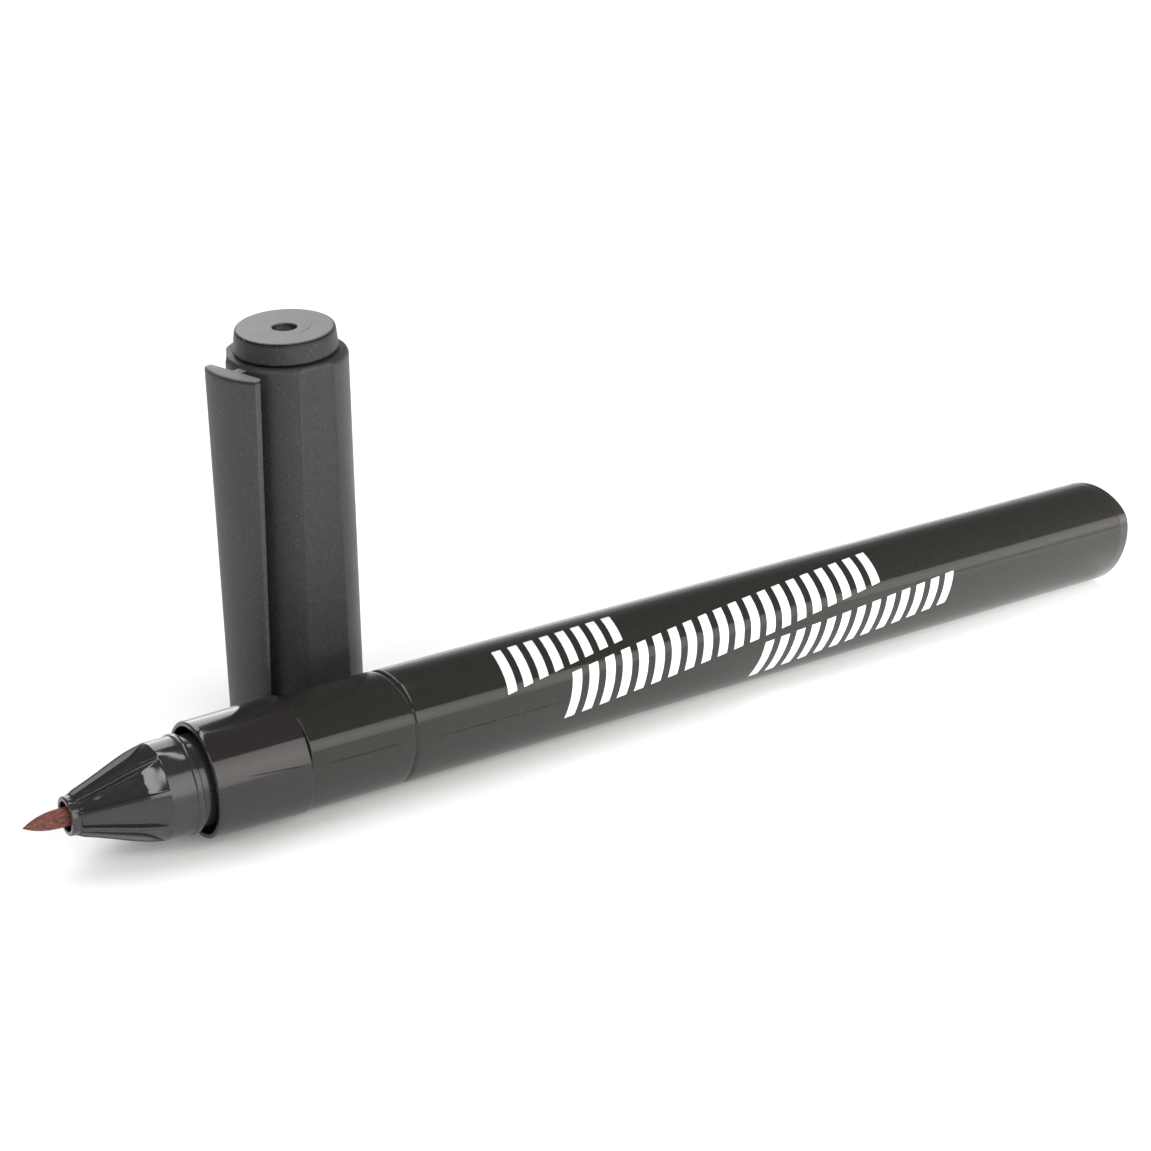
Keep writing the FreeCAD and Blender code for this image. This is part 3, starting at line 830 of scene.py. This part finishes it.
def clip_outline(width, inner):
    """Closed section as (out, side): flat inner side, short edges, crowned outer side."""
    half, out = width / 2, CLIP_EDGE_OUT
    corner = min(CLIP_CORNER, 0.4 * (out - inner))
    points = rounding(inner + corner, -half + corner, corner, 180, 270, 4)
    points += rounding(out - corner, -half + corner, corner, 270, 340, 4)
    rise = CLIP_CROWN_OUT - out
    bow = (half * half + rise * rise) / (2 * rise)
    reach = math.asin((half - corner) / bow)
    for a in onward(-reach, reach, 18)[:-1]:
        points.append((CLIP_CROWN_OUT - bow + bow * math.cos(a), bow * math.sin(a)))
    points += rounding(out - corner, half - corner, corner, 20, 90, 4)
    points += rounding(inner + corner, half - corner, corner, 90, 180, 4)
    points += [(inner, half * (0.6 - 1.2 * i / 6)) for i in range(7)]
    return points


def clip_piece(material):
    """Crowned pocket clip, narrower towards its rounded free end, with a bead on its inner side."""
    heights = [(CLIP_Z0 + z, inset) for z, inset in CLIP_END_ROUND]
    heights += [(z, 0.0) for z in onward(heights[-1][0], CLIP_Z1 - CLIP_TOP_ROUND, 22)]
    heights += rolled_edge(CLIP_Z1, CLIP_TOP_ROUND, 6)[1:]
    rings = []
    for z, inset in heights:
        share = (z - CLIP_Z0) / (CLIP_Z1 - CLIP_Z0)
        width = CLIP_W_END + (CLIP_W_TOP - CLIP_W_END) * share
        inner = CLIP_INNER_END + (CLIP_INNER_TOP - CLIP_INNER_END) * share
        ring = []
        for out, side in clip_outline(width, inner):
            depth = (out - inner) / (CLIP_CROWN_OUT - inner)
            out -= inset * min(1.0, 1.6 * depth)
            side *= 1 - 0.35 * inset / (width / 2)
            ring.append(off_cap(z, out, side, CLIP_ANGLE))
        rings.append(ring)
    bead = []
    for i in range(13):
        side = PAD_LEN * (i / 12 - 0.5)
        swell = PAD_R * math.sqrt(max(0.02, 1 - (2 * i / 12 - 1) ** 6))
        bead.append([off_cap(PAD_Z + swell * math.sin(a),
                             CLIP_INNER_END + 0.08 + swell * math.cos(a), side, CLIP_ANGLE)
                     for a in turns(16)])
    bm = bmesh.new()
    skin(bm, rings, ends=(True, True))
    skin(bm, bead, ends=(True, True))
    finish_piece("clip_bar", bm, material, "clip", ["cap_clip"])


def clip_root_piece(material):
    """The web that carries the clip, flared where it meets the shell and the clip."""
    inner, outer = CAP_R_TOP - 0.45, CLIP_INNER_TOP + 0.2
    low, high = WEB_Z0, CLIP_Z1 - 0.04
    count = 14
    rings = []
    for i in range(count + 1):
        share = i / count
        out = inner + (outer - inner) * share
        flare = 0.55 * max(0.0, abs(2 * share - 1) - 0.25) ** 2
        half = WEB_T / 2 - 0.1 + flare
        profile = [(low, -half), (low, half)]
        profile += rounding(high - WEB_ROUND, half - WEB_ROUND, WEB_ROUND, 90, 0, 4)
        profile += rounding(high - WEB_ROUND, -half + WEB_ROUND, WEB_ROUND, 0, -90, 4)
        rings.append([off_cap(z, out, side, CLIP_ANGLE) for z, side in profile])
    bm = bmesh.new()
    skin(bm, rings, ends=(True, True))
    finish_piece("clip_root", bm, material, "cap")


# ---- studio --------------------------------------------------------------------------------------
VIEW_AZIMUTH = -31.70        # degrees
VIEW_ELEVATION = 24.63
VIEW_ROLL = -0.19
EYE = Vector((-125.531, -203.753, 121.348)) * MM
LENS = 84.45
SENSOR = 36.0

FLOOR_RINGS = (6.0, 1.5, 0.4)                # radii in metres
FLOOR_DROP = 0.03 * MM                       # keeps the floor just clear of what stands on it
FLOOR_GLOW = (400, 1600, 0, 0.8)             # strength 0 within 400 mm, rising to 0.8 at 1600 mm

# The world's colour by the height of a direction: 0 at the horizon and below, 1 straight up.
SKY = ((0.0, (0.80, 0.80, 0.80)), (0.14, (0.70, 0.70, 0.70)), (0.22, (0.26, 0.26, 0.26)),
       (0.45, (0.12, 0.12, 0.125)))

FRONT_TINT = (1.0, 0.975, 0.93)
FRONT_UPWARD = ((0.0, 0.5), (0.22, 0.80), (0.48, 1.0), (1.0, 0.72))
FRONT_ALONG = ((0.0, 0.92), (0.31, 0.92), (0.38, 0.80), (0.58, 0.80), (0.68, 1.0))


def camera():
    """Long-lens camera at EYE, turned by the view angles."""
    a, e, roll = (math.radians(v) for v in (VIEW_AZIMUTH, VIEW_ELEVATION, VIEW_ROLL))
    back = Vector((math.sin(a) * math.cos(e), -math.cos(a) * math.cos(e), math.sin(e)))
    right = Vector((math.cos(a), math.sin(a), 0.0))
    up = back.cross(right)
    side = right * math.cos(roll) + up * math.sin(roll)
    top = up * math.cos(roll) - right * math.sin(roll)
    data = bpy.data.cameras.new("camera")
    data.sensor_width = SENSOR
    data.lens = LENS
    data.clip_start, data.clip_end = 0.01, 20.0
    cam = bpy.data.objects.new("camera", data)
    bpy.context.collection.objects.link(cam)
    cam.matrix_world = Matrix.Translation(EYE) @ Matrix((side, top, back)).transposed().to_4x4()
    bpy.context.scene.camera = cam


def set_stops(ramp, stops):
    """Gives a colour ramp its (position, colour) stops."""
    elements = ramp.color_ramp.elements
    while len(elements) < len(stops):
        elements.new(0.5)
    for element, (position, colour) in zip(elements, stops):
        element.position, element.color = position, (*colour, 1)


def panel(name, centre, facing, size, watts, reflected=True, tint=(1, 1, 1), spread=180,
          upward=(), along=()):
    """Rectangular soft light of a width and height in metres, facing a point. upward and along give
    its brightness at shares of its height and of its width; it is even without them."""
    data = bpy.data.lights.new(name, "AREA")
    data.shape = "RECTANGLE"
    data.size, data.size_y = size
    data.energy = watts
    data.color = tint
    data.spread = math.radians(spread)
    if upward or along:
        data.use_nodes = True
        nodes, links = data.node_tree.nodes, data.node_tree.links
        place = nodes.new("ShaderNodeNewGeometry")
        split = nodes.new("ShaderNodeSeparateXYZ")
        product = nodes.new("ShaderNodeMath")
        product.operation = "MULTIPLY"
        product.inputs[0].default_value = product.inputs[1].default_value = 1.0
        links.new(place.outputs["Parametric"], split.inputs["Vector"])
        for axis, levels, factor in (("X", along, 0), ("Y", upward, 1)):
            if levels:
                ramp = nodes.new("ShaderNodeValToRGB")
                links.new(split.outputs[axis], ramp.inputs["Fac"])
                links.new(ramp.outputs["Color"], product.inputs[factor])
                set_stops(ramp, [(share, (level, level, level)) for share, level in levels])
        links.new(product.outputs["Value"], nodes["Emission"].inputs["Strength"])
    light = bpy.data.objects.new(name, data)
    bpy.context.collection.objects.link(light)
    light.location = centre
    light.rotation_mode = "QUATERNION"
    light.rotation_quaternion = (Vector(centre) - Vector(facing)).to_track_quat("Z", "Y")
    light.visible_camera = False
    light.visible_glossy = reflected


def floor():
    """Pale round floor, with a glow that grows where the lights don't reach."""
    bm = bmesh.new()
    rings = [[Vector((radius * math.cos(a), radius * math.sin(a), 0.0)) for a in turns(96)]
             for radius in FLOOR_RINGS]
    skin(bm, rings, ends=(False, True))
    mesh = bpy.data.meshes.new("floor")
    bm.to_mesh(mesh)
    bm.free()
    r = Recipe("pale_floor", 0.9, specular=0.1)
    tooth = r.noise(r.place(), 0.8, detail=3)
    r.colour(r.mix(tooth, (0.86, 0.86, 0.86), (0.89, 0.89, 0.89)))
    distance = r.nodes.new("ShaderNodeVectorMath")
    distance.operation = "LENGTH"
    r.links.new(r.place(), distance.inputs[0])
    glow = r.span(distance.outputs["Value"], *FLOOR_GLOW)
    r.links.new(glow, r.shader.inputs["Emission Strength"])
    r.shader.inputs["Emission Color"].default_value = (1.0, 1.0, 1.0, 1.0)
    mesh.materials.append(r.material)
    ground = bpy.data.objects.new("floor", mesh)
    bpy.context.collection.objects.link(ground)
    ground.location.z = -FLOOR_DROP


def studio():
    """Pale surroundings near the horizon, and soft panels round the marker."""
    bpy.context.scene.view_settings.view_transform = "Standard"
    world = bpy.data.worlds.new("studio")
    bpy.context.scene.world = world
    world.use_nodes = True
    nodes, links = world.node_tree.nodes, world.node_tree.links
    coords = nodes.new("ShaderNodeTexCoord")
    split = nodes.new("ShaderNodeSeparateXYZ")
    ramp = nodes.new("ShaderNodeValToRGB")
    links.new(coords.outputs["Generated"], split.inputs["Vector"])
    links.new(split.outputs["Z"], ramp.inputs["Fac"])
    links.new(ramp.outputs["Color"], nodes["Background"].inputs["Color"])
    nodes["Background"].inputs["Strength"].default_value = 1.0
    set_stops(ramp, SKY)
    origin = (0, 0, 0)
    panel("overhead", (0.1, 0.25, 1.4), origin, (1.6, 1.6), 16, reflected=False)
    panel("front_panel", (0.42, -0.566, 0.292), (0.42, 0, 0), (1.24, 0.60), 8.6, tint=FRONT_TINT,
          upward=FRONT_UPWARD, along=FRONT_ALONG)
    panel("back_panel", (0.105, 0.50, 0.29), (0.105, 0, 0.2), (0.13, 0.56), 0.72)
    panel("left_panel", (-0.60, -0.28, 0.62), origin, (0.36, 0.36), 2.4)
    panel("overhead_strip", (0.11, 0.22, 0.85), origin, (0.08, 0.75), 1.1)
    panel("tail_fill", (0.14, -0.10, 0.03), (0.05, 0, 0), (0.10, 0.02), 0.07, reflected=False,
          spread=70)


# ---- build ---------------------------------------------------------------------------------------
camera()
floor()
studio()

holder_black = gloss_black("holder_black", tone=(0.018, 0.0175, 0.0175), roughness=0.14,
                           dust=0.40, ripple=0.010)
sleeve_black = gloss_black("sleeve_black", tone=(0.0150, 0.0130, 0.0130), roughness=0.09,
                           dust=0.05, ripple=0.0025, specular=0.5)
barrel_black = gloss_black("barrel_black", tone=(0.0165, 0.0155, 0.0135), roughness=0.12,
                           dust=0.03, ripple=0.0015, specular=0.42)
lid_black = gloss_black("lid_black", tone=(0.018, 0.017, 0.015), roughness=0.13,
                        dust=0.03, ripple=0.0015)
droplet_black = gloss_black("droplet_black", tone=(0.02, 0.02, 0.02), roughness=0.05,
                            dust=0.0, ripple=0.001)
cap_grey = satin_grey("cap_grey", (0.026, 0.0257, 0.0254))
# The clip's and the disc's top faces get painted highlights, with painted shade under their edges.
clip_grey = satin_grey("clip_grey", (0.040, 0.0398, 0.0392), painted_lit_top_tone=(0.125, 0.124, 0.122),
                       top_z=CLIP_Z1)
disc_grey = satin_grey("disc_grey", (0.018, 0.018, 0.0177), painted_lit_top_tone=(0.185, 0.184, 0.180),
                       top_z=DISC_TOP_Z)
painted_dark_line = dark_line_paint()

nib_piece(nib_fibre())
holder_piece(holder_black)
droplets_piece(droplet_black)
sleeve_piece(sleeve_black)
# The raised parting lines are geometry; their matt black is a painted dark reflection line.
line_piece("sleeve_parting_line", painted_dark_line, sleeve_surface,
           2.6, SLEEVE_LEN - 0.1, 159.5, 164.5)
barrel_piece(barrel_black)
tail_piece(lid_black)
line_piece("barrel_parting_line_front", painted_dark_line, barrel_surface,
           BARREL_X0 + 0.3, RING_X - 0.4, 169.0, 169.5)
line_piece("barrel_parting_line_rear", painted_dark_line, barrel_surface,
           RING_X + 0.6, LINE_END_X, 173.5, 174.5)
line_piece("barrel_parting_ridge", barrel_black, barrel_surface,
           RING_X + 0.6, LINE_END_X, 171.0, 172.0)
print_piece(print_white())
cap_piece(cap_grey)
disc_piece(disc_grey)
# The disc's top edge carries a band of painted shade with painted glints.
disc_edge_piece(painted_shade_edge())
clip_piece(clip_grey)
clip_root_piece(clip_grey)

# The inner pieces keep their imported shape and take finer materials.
inner_materials = {
    "ink_reservoir": fibre_core("ink_core", (0.012, 0.012, 0.016), (0.05, 0.05, 0.06),
                                (0.15, 1, 1), 0.25),
    "reservoir_wrap": fibre_core("wrap_film", (0.62, 0.62, 0.58), (0.80, 0.80, 0.77),
                                 (0.3, 1, 1), 1.2),
    "cap_seal": fibre_core("seal_plastic", (0.50, 0.50, 0.47), (0.64, 0.64, 0.61),
                           (1, 1, 0.4), 0.9),
}
for node, material in inner_materials.items():
    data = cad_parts[node].data
    data.materials.clear()
    data.materials.append(material)
